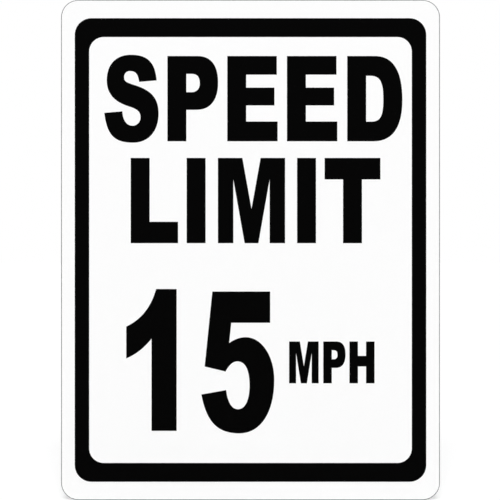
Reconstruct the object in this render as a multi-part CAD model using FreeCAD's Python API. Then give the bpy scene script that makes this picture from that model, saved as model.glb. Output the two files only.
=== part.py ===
"""Speed limit sign panel: a flat aluminium blank, the white reflective sheeting laminated on
its face, and the black border cut from film and laid on the sheeting.

Millimetres. +Z is up, +X is to the right for someone who reads the sign, and the printed
face looks along -Y. The origin is the middle of the blank's back, where the panel meets its
post, bracket or wall.
"""

import os

import FreeCAD
import Part

# The blank: 0.080 inch sheet, punched out with round corners. The punch draws the edge of
# the face over, and a file takes off the sharp edge that it leaves round the back.
panel_width = 457.2
panel_height = 603.25
panel_corner_radius = 20.8
blank_thickness = 2.03
die_roll_radius = 0.4
back_edge_radius = 0.2

# The sheeting stops short of the die roll, so a fine line of bare metal shows round it.
sheeting_thickness = 0.2
sheeting_trim = 0.6

# The border film: how far it lies in from the panel's edges, how wide its own bars are, and
# the radii of its corners. Along the top and bottom both distances are larger.
border_film_thickness = 0.08
border_side_margin = 16.6
border_top_margin = 22.0
border_side_width = 17.4
border_top_width = 22.7
border_outer_radius = 20.1
border_inner_radius = 17.5

# Each layer lies face to face on the one behind it.
blank_back_y = 0
blank_face_y = blank_back_y - blank_thickness
sheeting_face_y = blank_face_y - sheeting_thickness

# What counts as flat when edges are picked by their place.
flatness = 0.001
cubic_mm_in_cubic_cm = 1000


def edges_along_y(shape):
    """The edges that run through the shape's thickness."""
    return [edge for edge in shape.Edges if edge.BoundBox.YLength > flatness]


def edges_at(shape, y):
    """The edges that lie in the plane at y."""
    return [
        edge
        for edge in shape.Edges
        if abs(edge.BoundBox.YMin - y) < flatness and abs(edge.BoundBox.YMax - y) < flatness
    ]


def round_cornered_sheet(width, height, corner_radius, thickness, back_y):
    """A flat sheet centred on the Y axis. It starts at back_y and comes towards the reader."""
    lowest_corner = FreeCAD.Vector(-width / 2, back_y - thickness, -height / 2)
    sheet = Part.makeBox(width, thickness, height, lowest_corner)
    return sheet.makeFillet(corner_radius, edges_along_y(sheet))


def aluminium_blank():
    """The punched sheet, its face edge drawn over and its back edge filed."""
    blank = round_cornered_sheet(
        panel_width, panel_height, panel_corner_radius, blank_thickness, blank_back_y
    )
    blank = blank.makeFillet(die_roll_radius, edges_at(blank, blank_face_y))
    return blank.makeFillet(back_edge_radius, edges_at(blank, blank_back_y))


def white_sheeting():
    """The reflective sheeting, an even distance inside the blank's edge all round."""
    inset = die_roll_radius + sheeting_trim
    return round_cornered_sheet(
        panel_width - 2 * inset,
        panel_height - 2 * inset,
        panel_corner_radius - inset,
        sheeting_thickness,
        blank_face_y,
    )


def black_border():
    """The border: one closed band of film."""
    outer_width = panel_width - 2 * border_side_margin
    outer_height = panel_height - 2 * border_top_margin
    film = round_cornered_sheet(
        outer_width, outer_height, border_outer_radius, border_film_thickness, sheeting_face_y
    )
    window = round_cornered_sheet(
        outer_width - 2 * border_side_width,
        outer_height - 2 * border_top_width,
        border_inner_radius,
        border_film_thickness,
        sheeting_face_y,
    )
    return film.cut(window)


def write_node(name, shape):
    """Writes one sub-part's STEP file and prints its size."""
    shape.exportStep(os.path.join("parts", name + ".step"))
    box = shape.optimalBoundingBox()
    print(
        f"{name}: {box.XLength:.2f} x {box.YLength:.2f} x {box.ZLength:.2f} mm,"
        f" {shape.Volume / cubic_mm_in_cubic_cm:.2f} cm3, valid {shape.isValid()}"
    )


def main():
    os.makedirs("parts", exist_ok=True)
    write_node("aluminium_blank", aluminium_blank())
    write_node("white_sheeting", white_sheeting())
    write_node("black_border", black_border())


main()
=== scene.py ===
# %% [markdown]
# Speed limit sign
#
# A small upright road sign, as it leaves the sign shop. A flat aluminium blank is punched out
# with round corners, white reflective sheeting is rolled onto its face, and the border and the
# legend are cut from black film and laid on the sheeting.
#
# The blank, the sheeting and the border arrive as finished solids, at their real size and
# place. What is left for Blender is the letters, the finish of each surface, the light and the
# camera.

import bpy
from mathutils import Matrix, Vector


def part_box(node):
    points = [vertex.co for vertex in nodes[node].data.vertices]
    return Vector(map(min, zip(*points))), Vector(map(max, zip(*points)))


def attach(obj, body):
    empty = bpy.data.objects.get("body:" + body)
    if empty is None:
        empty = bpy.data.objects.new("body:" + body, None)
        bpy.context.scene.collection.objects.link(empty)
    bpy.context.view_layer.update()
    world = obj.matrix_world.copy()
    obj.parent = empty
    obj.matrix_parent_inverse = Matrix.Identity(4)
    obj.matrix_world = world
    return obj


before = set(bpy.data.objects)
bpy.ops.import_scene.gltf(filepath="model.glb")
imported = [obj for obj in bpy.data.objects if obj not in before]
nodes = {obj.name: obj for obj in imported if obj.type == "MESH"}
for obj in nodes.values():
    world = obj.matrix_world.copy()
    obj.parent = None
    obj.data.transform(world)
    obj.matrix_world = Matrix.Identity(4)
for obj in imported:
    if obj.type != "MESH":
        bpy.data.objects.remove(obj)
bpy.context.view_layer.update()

mm = 0.001

# %% Modules
import math

import bmesh
import bpy
from mathutils import Euler, Matrix, Vector

scene = bpy.context.scene

# %% [markdown]
# Camera
#
# The picture is as flat as a drawing: the panel fills it from top to bottom, its sides are
# upright and nothing converges. Two cameras could do that. An orthographic one has no
# perspective at all, but a real sign is never seen so. A long lens, square on, at the distance
# where the panel just fills the height, gives the same picture of a flat thing, and it still
# shows depth when the camera walks round to the side. The panel lies half a pixel right of the
# picture's middle, so the camera stands half a pixel to the left.

# %% Where the camera stands
picture_side = 500
panel_left_pixel = 61
panel_right_pixel = 440
sensor_size = 36 * mm
lens_length = 100 * mm

blank_low, blank_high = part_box("aluminium_blank")
panel_height = blank_high.z - blank_low.z
metres_per_pixel = panel_height / picture_side
panel_middle_pixel = (panel_left_pixel + panel_right_pixel) / 2
camera_shift_left = (panel_middle_pixel - picture_side / 2) * metres_per_pixel
camera_distance = panel_height * lens_length / sensor_size
print(f"camera {camera_distance:.3f} m from the face, {metres_per_pixel / mm:.4f} mm to a pixel")

# %% Camera
camera_data = bpy.data.cameras.new("camera")
camera_data.sensor_width = sensor_size / mm
camera_data.lens = lens_length / mm
camera = bpy.data.objects.new("camera", camera_data)
camera.location = (-camera_shift_left, blank_low.y - camera_distance, 0)
camera.rotation_euler = Vector((0, 1, 0)).to_track_quat("-Z", "Y").to_euler()
scene.collection.objects.link(camera)
scene.camera = camera
print("the camera stands at", [round(along, 4) for along in camera.location], "m")

# %% [markdown]
# Colour and nodes
#
# Paints, films and sheetings are matched by eye on a screen, so their colours are kept as sRGB
# hex values. A shader works with the amount of light itself, so one function turns a hex value
# into linear numbers. A second one adds a node, sets it up and joins it to what feeds it. That
# keeps each material below close to a sentence about the real surface.

# %% Hex to linear
# The numbers are the sRGB standard's own: a straight stretch near black, a power law above it.
def linear(hex_colour):
    """An sRGB hex value, such as #AEB0B2, as linear red, green, blue and full alpha."""
    channels = [int(hex_colour[i:i + 2], 16) / 255 for i in (1, 3, 5)]
    return tuple(
        c / 12.92 if c <= 0.04045 else ((c + 0.055) / 1.055) ** 2.4 for c in channels
    ) + (1.0,)


print("mid grey #808080 is", round(linear("#808080")[0], 3), "of the light that white sends back")


# %% Add a node
def add(tree, kind, inputs=None, **settings):
    """Adds a node. Its inputs are values, or the sockets of other nodes that feed them."""
    made = tree.nodes.new(kind)
    for setting, value in settings.items():
        setattr(made, setting, value)
    for socket_name, value in (inputs or {}).items():
        socket = made.inputs[socket_name]
        if isinstance(value, bpy.types.NodeSocket):
            tree.links.new(value, socket)
        else:
            socket.default_value = value
    return made


# %% [markdown]
# Studio
#
# A white panel is hard to light. It has to be equally bright from edge to edge, and it must not
# wash out. The background is white too. It is made white for the camera and for reflections
# alone, and the world gives the object a weaker and even light, so that nothing on the face
# clips. The floor is painted pale and glows just enough to look white where the lamps reach it.
# A shadow takes the lamps' share away, so it still shows.

# %% What is seen directly
def seen_directly(tree):
    """1 for the rays that show a surface, straight or in a reflection, and 0 for the others."""
    rays = add(tree, "ShaderNodeLightPath")
    camera_or_glossy = add(
        tree,
        "ShaderNodeMath",
        {0: rays.outputs["Is Camera Ray"], 1: rays.outputs["Is Glossy Ray"]},
        operation="MAXIMUM",
    )
    any_of_them = add(
        tree,
        "ShaderNodeMath",
        {0: camera_or_glossy.outputs[0], 1: rays.outputs["Is Transmission Ray"]},
        operation="MAXIMUM",
    )
    return any_of_them.outputs[0]


# %% World
white = linear("#FFFFFF")
ambient_strength = 0.5
background_strength = 1.0

world = bpy.data.worlds.new("white_studio")
world.use_nodes = True
world.node_tree.nodes.clear()
scene.world = world

world_strength = add(
    world.node_tree,
    "ShaderNodeMapRange",
    {
        "Value": seen_directly(world.node_tree),
        "To Min": ambient_strength,
        "To Max": background_strength,
    },
)
background = add(
    world.node_tree,
    "ShaderNodeBackground",
    {"Color": white, "Strength": world_strength.outputs["Result"]},
)
add(world.node_tree, "ShaderNodeOutputWorld", {"Surface": background.outputs[0]})
print("the world lights the sign at", ambient_strength, "and shows at", background_strength)

# %% Floor
floor_half_side = 30.0

floor_mesh = bpy.data.meshes.new("floor")
floor_corners = ((-1, -1), (1, -1), (1, 1), (-1, 1))
floor_mesh.from_pydata(
    [(x * floor_half_side, y * floor_half_side, blank_low.z) for x, y in floor_corners],
    [],
    [range(len(floor_corners))],
)
floor = bpy.data.objects.new("floor", floor_mesh)
scene.collection.objects.link(floor)
print(f"floor {2 * floor_half_side:.0f} m wide, at the panel's lower edge, z = {blank_low.z:.4f} m")


# %% Start a material
def new_material(name):
    """An empty node material and its tree."""
    material = bpy.data.materials.new(name)
    material.use_nodes = True
    material.node_tree.nodes.clear()
    return material, material.node_tree


# %% Floor paint
floor_tone = "#E7E7E7"
floor_glow = 0.25

floor_paint, tree = new_material("pale_studio_floor")
paint = add(tree, "ShaderNodeBsdfDiffuse", {"Color": linear(floor_tone)})
glow_strength = add(
    tree,
    "ShaderNodeMath",
    {0: seen_directly(tree), 1: floor_glow},
    operation="MULTIPLY",
)
glow = add(tree, "ShaderNodeEmission", {"Color": white, "Strength": glow_strength.outputs[0]})
both = add(tree, "ShaderNodeAddShader", {0: paint.outputs[0], 1: glow.outputs[0]})
add(tree, "ShaderNodeOutputMaterial", {"Surface": both.outputs[0]})
floor.data.materials.append(floor_paint)
print("floor painted", floor_tone, "with a glow of", floor_glow)

# %% [markdown]
# Lamps
#
# A lamp beside a flat thing lights the near part more than the far one. The further away it
# stands, the less that shows, so a big soft box is moved so far off that it is a sun lamp. It
# lights each part the same, and its angle is how large the box looks from the sign, which
# keeps the shadows soft. It stands over the camera, halfway up the sky: its reflection in the
# face goes down to the floor and not into the lens, and the shadow falls straight behind the
# panel. A weaker one stands behind, for whoever looks at the back.

# %% Lamps
soft_box_spread = 22


def far_soft_box(name, behind_camera, elevation, strength):
    """A sun lamp in the YZ plane, on the camera's side of the sign or behind the sign."""
    data = bpy.data.lights.new(name, "SUN")
    data.energy = strength
    data.angle = math.radians(soft_box_spread)
    lamp = bpy.data.objects.new(name, data)
    side = -1 if behind_camera else 1
    angle = math.radians(elevation)
    lamp.location = (0, side * math.cos(angle), math.sin(angle))
    lamp.rotation_euler = (-lamp.location).to_track_quat("-Z", "Y").to_euler()
    scene.collection.objects.link(lamp)
    print(f"{name}: {elevation} degrees up, {soft_box_spread} degrees wide, strength {strength}")


far_soft_box("front_box", behind_camera=True, elevation=45, strength=1.65)
far_soft_box("back_box", behind_camera=False, elevation=35, strength=0.6)

# %% [markdown]
# Mill-finish aluminium
#
# The blank is bare aluminium sheet, as the rolling mill leaves it. Steel rolls press their own
# grinding marks into the metal, so it is a satin grey with faint lines along the rolling
# direction, a little lighter and darker in bands. An image of brushed metal would repeat and
# blur. Noise that is drawn out along one axis doesn't, and its width and length are plain
# sizes. The real lines are about 0.1 mm wide. They are drawn 1.5 mm wide here, or a picture of
# the whole sign wouldn't show them.

# %% Streaks of a real size
finer_noise_share = 0.6


def streaks(tree, width, length, detail):
    """Noise from 0 to 1 whose spots are as wide as width, and as long as length along Z.

    Detail is how many layers of finer and finer noise are added to it.
    """
    place = add(tree, "ShaderNodeTexCoord").outputs["Object"]
    drawn_out = add(
        tree,
        "ShaderNodeMapping",
        {"Vector": place, "Scale": (1 / width, 1 / width, 1 / length)},
    )
    noise = add(
        tree,
        "ShaderNodeTexNoise",
        {
            "Vector": drawn_out.outputs[0],
            "Scale": 1.0,
            "Detail": detail,
            "Roughness": finer_noise_share,
        },
    )
    return noise.outputs["Fac"]


# %% Rolling lines and bands
line_width = 1.5 * mm
line_length = 180 * mm
band_width = 70 * mm
band_length = 700 * mm
band_share = 0.35

aluminium, tree = new_material("mill_finish_aluminium")
lines = streaks(tree, line_width, line_length, detail=4)
bands = streaks(tree, band_width, band_length, detail=2)
lines_and_bands = add(tree, "ShaderNodeMix", {"Factor": band_share, "A": lines, "B": bands})
print(f"rolling lines {line_width / mm} mm wide, bands {band_width / mm:.0f} mm wide")

# %% The rolled skin
# A Mix node has sockets for numbers, vectors and colours, all called A and B. These are the
# places of its colour sockets.
colour_a = 6
colour_b = 7
mixed_colour = 2

smoothest_skin = 0.34
roughest_skin = 0.48
line_height = 0.02 * mm
line_relief = 0.6

skin_tone = add(
    tree,
    "ShaderNodeMix",
    {
        "Factor": lines_and_bands.outputs[0],
        colour_a: linear("#9DA0A2"),
        colour_b: linear("#BEC0C1"),
    },
    data_type="RGBA",
)
skin_roughness = add(
    tree,
    "ShaderNodeMapRange",
    {"Value": lines, "To Min": smoothest_skin, "To Max": roughest_skin},
)
skin_relief = add(
    tree,
    "ShaderNodeBump",
    {"Height": lines, "Distance": line_height, "Strength": line_relief},
)
print(f"lines {line_height / mm} mm high, roughness {smoothest_skin} to {roughest_skin}")

# %% [markdown]
# The punched edge
#
# A punch doesn't leave one surface but four, one behind the other. It first drags the skin of
# the face over and leaves it dull. Then it shears a brighter, smoother land, and the rest tears
# and is coarse and grey. Last comes the back, whose sharp edge is filed off. The edge is only
# 2 mm thick, so four pieces of geometry would be wasted on it. The depth below the face tells
# which of them a point belongs to, and where one ends it blends into the next.

# %% The four finishes of the edge
drawn_depth = 0.42 * mm
sheared_depth = 0.85 * mm
filed_edge = 0.2 * mm
filed_depth = blank_high.y - blank_low.y - filed_edge
blend_depth = 0.04 * mm

drawn_tone = linear("#7D7F80")
drawn_roughness = 0.5
sheared_tone = linear("#A6A9AB")
sheared_roughness = 0.42
torn_tone = linear("#858789")
torn_roughness = 0.65

finishes_behind = (
    (drawn_depth, sheared_tone, sheared_roughness),
    (sheared_depth, torn_tone, torn_roughness),
    (filed_depth, skin_tone.outputs[mixed_colour], skin_roughness.outputs["Result"]),
)
print(f"edge: drawn to {drawn_depth / mm:.2f} mm, sheared to {sheared_depth / mm:.2f} mm, then torn")

# %% One finish behind the other
place = add(tree, "ShaderNodeTexCoord").outputs["Object"]
place_y = add(tree, "ShaderNodeSeparateXYZ", {"Vector": place}).outputs["Y"]

edge_tone = drawn_tone
edge_roughness = drawn_roughness
for depth, next_tone, next_roughness in finishes_behind:
    start = blank_low.y + depth
    behind = add(
        tree,
        "ShaderNodeMapRange",
        {"Value": place_y, "From Min": start - blend_depth, "From Max": start + blend_depth},
    ).outputs["Result"]
    edge_tone = add(
        tree,
        "ShaderNodeMix",
        {"Factor": behind, colour_a: edge_tone, colour_b: next_tone},
        data_type="RGBA",
    ).outputs[mixed_colour]
    edge_roughness = add(
        tree,
        "ShaderNodeMix",
        {"Factor": behind, "A": edge_roughness, "B": next_roughness},
    ).outputs[0]

# %% Aluminium on the blank
metal = add(
    tree,
    "ShaderNodeBsdfPrincipled",
    {
        "Base Color": edge_tone,
        "Metallic": 1.0,
        "Roughness": edge_roughness,
        "Normal": skin_relief.outputs[0],
    },
)
add(tree, "ShaderNodeOutputMaterial", {"Surface": metal.outputs[0]})
nodes["aluminium_blank"].data.materials[0] = aluminium
print("the aluminium is made of", len(tree.nodes), "nodes")

# %% [markdown]
# White reflective sheeting
#
# The white is a layer of glass beads in clear resin over a mirror coat, made as a film and
# rolled onto the metal. By plain light it looks like a satin white plastic. The beads give it a
# very fine grain, and the resin over them sets with a slight orange peel. A shader that sends
# headlight back to its source would be more than a studio picture shows, so it is a plastic
# with an IOR of 1.49, the usual acrylic one. Real beads are 0.07 mm across. They are drawn
# 1 mm wide, or they would only make the picture noisy.

# %% Beads and orange peel
bead_size = 1.0 * mm
bead_height = 0.006 * mm
peel_size = 7 * mm
peel_height = 0.01 * mm

sheeting, tree = new_material("white_reflective_sheeting")
beads = streaks(tree, bead_size, bead_size, detail=2)
peel = streaks(tree, peel_size, peel_size, detail=1)
peel_relief = add(tree, "ShaderNodeBump", {"Height": peel, "Distance": peel_height})
bead_relief = add(
    tree,
    "ShaderNodeBump",
    {"Height": beads, "Distance": bead_height, "Normal": peel_relief.outputs[0]},
)
print(f"beads {bead_size / mm} mm wide under an orange peel of {peel_size / mm} mm")

# %% Sheeting on the blank
acrylic_ior = 1.49
smoothest_bead = 0.3
roughest_bead = 0.42

bead_tone = add(
    tree,
    "ShaderNodeMix",
    {"Factor": beads, colour_a: linear("#F9F9F9"), colour_b: linear("#FFFFFF")},
    data_type="RGBA",
)
bead_roughness = add(
    tree,
    "ShaderNodeMapRange",
    {"Value": beads, "To Min": smoothest_bead, "To Max": roughest_bead},
)
resin = add(
    tree,
    "ShaderNodeBsdfPrincipled",
    {
        "Base Color": bead_tone.outputs[mixed_colour],
        "Roughness": bead_roughness.outputs["Result"],
        "IOR": acrylic_ior,
        "Normal": bead_relief.outputs[0],
    },
)
add(tree, "ShaderNodeOutputMaterial", {"Surface": resin.outputs[0]})
nodes["white_sheeting"].data.materials[0] = sheeting
print(f"sheeting: IOR {acrylic_ior}, roughness {smoothest_bead} to {roughest_bead}")

# %% [markdown]
# Black cut film
#
# The border and the letters are vinyl film, full of carbon black, cast on paper and cut with a
# plotter's knife. Carbon black takes in nearly all light, so the base is almost black. What
# shows of such a film is its surface. It has vinyl's IOR of 1.52, but the photograph's is deep
# black with no shine, so its specular level is far below the usual half. The grain that the
# casting paper leaves is finer than 0.1 mm. It is drawn 0.9 mm wide and shows only when light
# rakes over it.

# %% Film grain
grain_size = 0.9 * mm
grain_height = 0.008 * mm

black_film, tree = new_material("black_cut_film")
grain = streaks(tree, grain_size, grain_size, detail=3)
film_relief = add(tree, "ShaderNodeBump", {"Height": grain, "Distance": grain_height})
print(f"film grain {grain_size / mm} mm wide and {grain_height / mm} mm high")

# %% Film on the border
vinyl_ior = 1.52
vinyl_specular = 0.012
smoothest_film = 0.45
roughest_film = 0.6

film_tone = add(
    tree,
    "ShaderNodeMix",
    {"Factor": grain, colour_a: linear("#010101"), colour_b: linear("#050505")},
    data_type="RGBA",
)
film_roughness = add(
    tree,
    "ShaderNodeMapRange",
    {"Value": grain, "To Min": smoothest_film, "To Max": roughest_film},
)
vinyl = add(
    tree,
    "ShaderNodeBsdfPrincipled",
    {
        "Base Color": film_tone.outputs[mixed_colour],
        "Roughness": film_roughness.outputs["Result"],
        "IOR": vinyl_ior,
        "Specular IOR Level": vinyl_specular,
        "Normal": film_relief.outputs[0],
    },
)
add(tree, "ShaderNodeOutputMaterial", {"Surface": vinyl.outputs[0]})
nodes["black_border"].data.materials[0] = black_film
print(f"film: IOR {vinyl_ior}, roughness {smoothest_film} to {roughest_film}")

# %% [markdown]
# The pen
#
# Each letter is cut from film as one closed outline, with one more for a counter, such as the
# hole in a P. The letters could be typed with a font, but a built-in one has other proportions.
# So they are drawn as a sign writer sets them out: corners where the strokes are straight, and
# one round stretch between each two points where the line is upright or level. A Bezier curve
# does exactly that. Its handles point at the corner that the round stretch cuts off, and how
# far they reach towards it, the fullness, tells a slack curve from a square one.

# %% A round stretch
def turn(corner, end, fullness=0.65):
    """A round stretch of an outline. It leaves towards the corner and arrives from it."""
    return {"corner": Vector(corner), "end": Vector(end), "fullness": fullness}


# %% Draw an outline
def draw(spline, outline):
    """Draws a closed outline as a Bezier spline. Plain points are joined by straight lines."""
    points = spline.bezier_points
    points.add(len(outline) - 1)
    spline.use_cyclic_u = True
    for point, step in zip(points, outline):
        point.co.xy = step if isinstance(step, tuple) else step["end"]
    for before, point, step in zip([points[-1], *points], points, outline):
        if isinstance(step, tuple):
            before.handle_right_type = "VECTOR"
            point.handle_left_type = "VECTOR"
        else:
            reach = step["fullness"]
            before.handle_right.xy = before.co.xy.lerp(step["corner"], reach)
            point.handle_left.xy = point.co.xy.lerp(step["corner"], reach)


# %% Count the points
def count_points(stem, *letters):
    """Prints how few points each letter needs, and how many round stretches it has."""
    for letter in letters:
        steps = [step for outline in letter(stem) for step in outline]
        round_stretches = sum(not isinstance(step, tuple) for step in steps)
        print(f"{letter.__name__}: {len(steps)} points, {round_stretches} round stretches")


# %% [markdown]
# The straight letters
#
# The legend is a heavy sans serif in capitals. All measures are in millimetres for the large
# capitals, from the letter's left edge and its base line. The stem, which is the thickness of
# an upright stroke, is the one measure that they all share, so each letter takes it, and the
# small capitals can have a heavier one.

# %% I, L and T
cap_height = 102.8
large_stem = 22.8


def letter_I(stem):
    return [[(0, 0), (0, cap_height), (stem, cap_height), (stem, 0)]]


def letter_L(stem):
    width = 57.1
    foot = 25.8
    return [[(0, 0), (0, cap_height), (stem, cap_height), (stem, foot), (width, foot), (width, 0)]]


def letter_T(stem):
    width = 67.3
    bar_height = 25.9
    bar = cap_height - bar_height
    left = (width - stem) / 2
    right = left + stem
    return [[
        (left, 0), (left, bar), (0, bar), (0, cap_height),
        (width, cap_height), (width, bar), (right, bar), (right, 0),
    ]]


print("large capitals are", cap_height, "mm high, with a stem of", large_stem, "mm")
count_points(large_stem, letter_I, letter_L, letter_T)


# %% E and H
def letter_E(stem):
    top_width, middle_width, foot_width = 59.7, 56.9, 60.7
    foot, middle_low, middle_high, top = 23.8, 43.2, 64.7, 80.3
    return [[
        (0, 0), (0, cap_height), (top_width, cap_height), (top_width, top), (stem, top),
        (stem, middle_high), (middle_width, middle_high), (middle_width, middle_low),
        (stem, middle_low), (stem, foot), (foot_width, foot), (foot_width, 0),
    ]]


def letter_H(stem):
    width = 68.9
    bar_low, bar_high = 41.4, 67.3
    right = width - stem
    return [[
        (0, 0), (0, cap_height), (stem, cap_height), (stem, bar_high),
        (right, bar_high), (right, cap_height), (width, cap_height), (width, 0),
        (right, 0), (right, bar_low), (stem, bar_low), (stem, 0),
    ]]


count_points(large_stem, letter_E, letter_H)


# %% M
# Four strokes meet in an M, so its legs are thinner than a stem, or it would look blacker than
# its neighbours. Its shoulders and its point are measured from the middle of the letter. The
# armpit is where the inside of a leg meets the slope that comes up from the point.
def letter_M(stem):
    width = 81.0
    middle = width / 2
    thinning = 4.2
    leg = stem - thinning
    shoulder, valley, point = 11.0, 41.5, 8.3
    slope = 5.65
    armpit = slope * (middle - point - leg)
    return [[
        (0, 0), (0, cap_height), (middle - shoulder, cap_height), (middle, valley),
        (middle + shoulder, cap_height), (width, cap_height), (width, 0), (width - leg, 0),
        (width - leg, armpit), (middle + point, 0), (middle - point, 0), (leg, armpit), (leg, 0),
    ]]


count_points(large_stem, letter_M)


# %% [markdown]
# The round letters
#
# A round stroke looks thinner than a straight one of the same width and stops short to the eye,
# so the S runs a little over the cap line and under the base line. The S is the hard one. Its
# spine is two curves that meet on a slope, and the slope has to be the same on both sides of
# the stroke. Its round sides are a little thinner than a stem, which keeps both counters open.

# %% P and D
def letter_P(stem):
    bowl_right, bowl_foot = 61.1, 37.9
    counter_right, counter_top, counter_foot = 39.0, 81.3, 59.2
    outside = [
        (0, 0), (0, cap_height), (36.3, cap_height),
        turn((bowl_right, cap_height), (bowl_right, 71.1)),
        turn((bowl_right, bowl_foot), (34.8, bowl_foot)),
        (stem, bowl_foot), (stem, 0),
    ]
    counter = [
        (stem, counter_top), (28.9, counter_top),
        turn((counter_right, counter_top), (counter_right, 69.4), 0.7),
        turn((counter_right, counter_foot), (29.6, counter_foot), 0.59),
        (stem, counter_foot),
    ]
    return [outside, counter]


def letter_D(stem):
    right, counter_right = 66.5, 43.5
    counter_foot, counter_top = 23.6, 79.0
    outside = [
        (0, 0), (0, cap_height), (33.5, cap_height),
        turn((right, cap_height), (right, 50.1), 0.66),
        turn((right, 0), (32.1, 0), 0.66),
    ]
    counter = [
        (stem, counter_top), (27.1, counter_top),
        turn((counter_right, counter_top), (counter_right, 50.9), 0.76),
        turn((counter_right, counter_foot), (28.5, counter_foot), 0.77),
        (stem, counter_foot),
    ]
    return [outside, counter]


count_points(large_stem, letter_P, letter_D)


# %% S
def letter_S(stem):
    top, foot = 104.3, -1.7
    left, right = 3.0, 65.5
    upper_thinning, lower_thinning = 1.9, 1.0
    upper_counter = left + stem - upper_thinning
    lower_counter = right - stem + lower_thinning
    counter_top, counter_foot = 84.7, 18.7
    return [[
        (63.2, 73.4),
        turn((60.5, top), (32.2, top), 0.71),
        turn((left, top), (left, 73.6), 0.62),
        turn((left, 50.3), (30.0, 41.9), 0.68),
        turn((lower_counter, 37.7), (lower_counter, 28.7), 0.75),
        turn((lower_counter, counter_foot), (34.4, counter_foot), 0.54),
        turn((22.8, counter_foot), (21.8, 36.1), 0.64),
        (0, 34.2),
        turn((4.5, foot), (34.8, foot), 0.75),
        turn((right, foot), (right, 33.6), 0.61),
        turn((right, 58.8), (36.8, 67.7), 0.71),
        turn((upper_counter, 71.7), (upper_counter, 77.5), 0.86),
        turn((upper_counter, counter_top), (30.7, counter_top), 0.56),
        turn((40.0, counter_top), (42.1, 71.7), 0.76),
    ]]


count_points(large_stem, letter_S)

# %% [markdown]
# The figures
#
# The number is what a driver has to read first, so it is more than half as tall again as the
# capitals and a third heavier. The 1 has a flag that curves into its stem, and the 5 has a bowl
# that is fuller on the right than below.

# %% 1 and 5
stem_of_1 = 30.3
stem_of_5 = 29.8


def figure_1(stem):
    right, top = 60.8, 171.1
    left = right - stem
    return [[
        (left, 0), (left, 111.2),
        turn((17.0, 94.4), (0, 87.4), 0.67),
        (0, 125.8),
        turn((27.1, 138.8), (36.0, top), 0.67),
        (right, top), (right, 0),
    ]]


def figure_5(stem):
    top, flag_foot, bowl_top, foot = 168.1, 130.4, 113.0, -3.0
    right = 87.95
    inner_right = right - stem
    inner_top, inner_foot = 83.8, 26.1
    return [[
        (13.25, top), (83.05, top), (83.05, flag_foot), (36.1, flag_foot), (33.6, 106.0),
        turn((43.3, bowl_top), (53.6, bowl_top), 0.66),
        turn((right, bowl_top), (right, 61.4), 0.56),
        turn((right, foot), (45.8, foot), 0.61),
        turn((8.8, foot), (0, 43.9), 0.71),
        (29.95, 49.25),
        turn((32.7, inner_foot), (44.1, inner_foot), 0.64),
        turn((inner_right, inner_foot), (inner_right, 54.6), 0.62),
        turn((inner_right, inner_top), (43.6, inner_top), 0.65),
        turn((35.65, inner_top), (29.2, 71.6), 0.68),
        (4.0, 77.6),
    ]]


count_points(stem_of_1, figure_1)
count_points(stem_of_5, figure_5)

# %% [markdown]
# Cutting and laying
#
# A plotter cuts the outline in film, the waste is peeled off, and the letter is laid on the
# sheeting. A boolean could cut it out of a flat piece here too, but it would need a cutter of
# the same shape first. A two-dimensional curve needs none: it fills itself between its outlines
# and leaves the counter open. Extruding it gives the film its thickness, and turning it into a
# mesh makes it a plain solid that can be tested: welded along its edges, with no edge left
# open, and with all its faces outward.

# %% How thick the film is
sheeting_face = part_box("white_sheeting")[0].y
film_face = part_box("black_border")[0].y
film_thickness = sheeting_face - film_face
print(f"film {film_thickness / mm:.3f} mm thick, laid at y = {sheeting_face / mm:.2f} mm")

# %% Cut one letter
curve_steps = 20


def cut(name, outlines):
    """A mesh of film in millimetres, flat in X and Y, from the outlines of one letter."""
    curve = bpy.data.curves.new(name, "CURVE")
    curve.dimensions = "2D"
    curve.fill_mode = "BOTH"
    curve.resolution_u = curve_steps
    curve.extrude = film_thickness / mm / 2
    for outline in outlines:
        draw(curve.splines.new("BEZIER"), outline)
    drawn = bpy.data.objects.new(name, curve)
    scene.collection.objects.link(drawn)
    bpy.context.view_layer.update()
    evaluated = drawn.evaluated_get(bpy.context.evaluated_depsgraph_get())
    mesh = bpy.data.meshes.new_from_object(evaluated)
    bpy.data.objects.remove(drawn)
    mesh.materials.clear()
    return mesh


# %% Weld one letter
weld_distance = 0.001 * mm


def weld(name, mesh):
    """Joins the cut's faces along their edges, turns them outward and prints what came out."""
    solid = bmesh.new()
    solid.from_mesh(mesh)
    bmesh.ops.remove_doubles(solid, verts=solid.verts, dist=weld_distance)
    bmesh.ops.recalc_face_normals(solid, faces=solid.faces)
    open_edges = sum(not edge.is_manifold for edge in solid.edges)
    area = solid.calc_volume() / film_thickness / mm**2
    print(f"{name}: {len(solid.faces)} faces, {open_edges} open edges, {area:.0f} mm2 of film")
    solid.to_mesh(mesh)
    solid.free()


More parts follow.
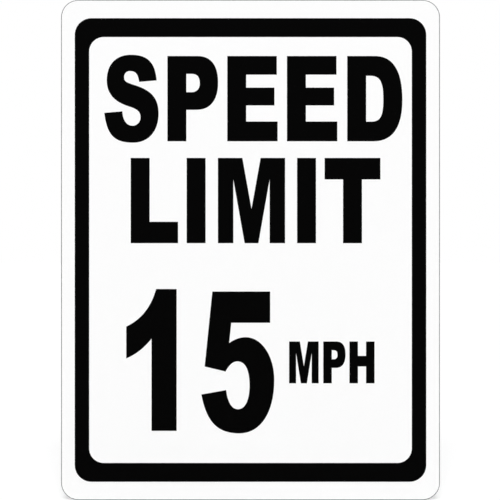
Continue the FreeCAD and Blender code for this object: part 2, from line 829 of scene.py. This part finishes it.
# %% Lay one letter
def lay(name, outlines, left, base_line, width_share=1, height_share=1):
    """Sizes a cut letter, stands it up and sets it on the sheeting, left and base line in mm."""
    mesh = cut(name, outlines)
    middle_of_film = (sheeting_face + film_face) / 2
    place = Vector((left * mm, middle_of_film, base_line * mm))
    upright = Euler((math.radians(90), 0, 0))
    size = Vector((width_share, height_share, 1)) * mm
    mesh.transform(Matrix.LocRotScale(place, upright, size))
    weld(name, mesh)
    mesh.materials.append(black_film)
    piece = bpy.data.objects.new(name, mesh)
    scene.collection.objects.link(piece)
    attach(piece, "root")


# %% [markdown]
# The legend
#
# Two lines of large capitals, a tall number, and the unit beside it in small capitals that are
# narrow and under half as large. The words are the plain ones that every sign of this kind
# carries. Each letter is laid at its own left edge, because a sign writer spaces by eye: an L
# leaves room over its foot, so the next letter moves in.

# %% Lay the words
speed_base_line = 131.2
limit_base_line = 8.25

for name, letter, left, base_line in (
    ("speed_S", letter_S, -176.4, speed_base_line),
    ("speed_P", letter_P, -100.2, speed_base_line),
    ("speed_E_1", letter_E, -28.0, speed_base_line),
    ("speed_E_2", letter_E, 44.0, speed_base_line),
    ("speed_D", letter_D, 116.7, speed_base_line),
    ("limit_L", letter_L, -144.5, limit_base_line),
    ("limit_I_1", letter_I, -77.0, limit_base_line),
    ("limit_M", letter_M, -39.3, limit_base_line),
    ("limit_I_2", letter_I, 56.2, limit_base_line),
    ("limit_T", letter_T, 89.4, limit_base_line),
):
    lay(name, letter(large_stem), left, base_line)

# %% Lay the number
number_base_line = -218.2

for name, figure, stem, left in (
    ("number_1", figure_1, stem_of_1, -149.9),
    ("number_5", figure_5, stem_of_5, -59.3),
):
    lay(name, figure(stem), left, number_base_line)

# %% Lay the unit
unit_stem = 23.3
unit_base_line = -160.8
unit_width_share = 0.4395
unit_height_share = 0.4905

for name, letter, left in (
    ("unit_M", letter_M, 46.6),
    ("unit_P", letter_P, 87.8),
    ("unit_H", letter_H, 119.35),
):
    lay(name, letter(unit_stem), left, unit_base_line, unit_width_share, unit_height_share)

# %% [markdown]
# View transform
#
# The Standard view shows each colour as it is written, so white stays white and black stays black.

# %% View transform
scene.view_settings.view_transform = "Standard"
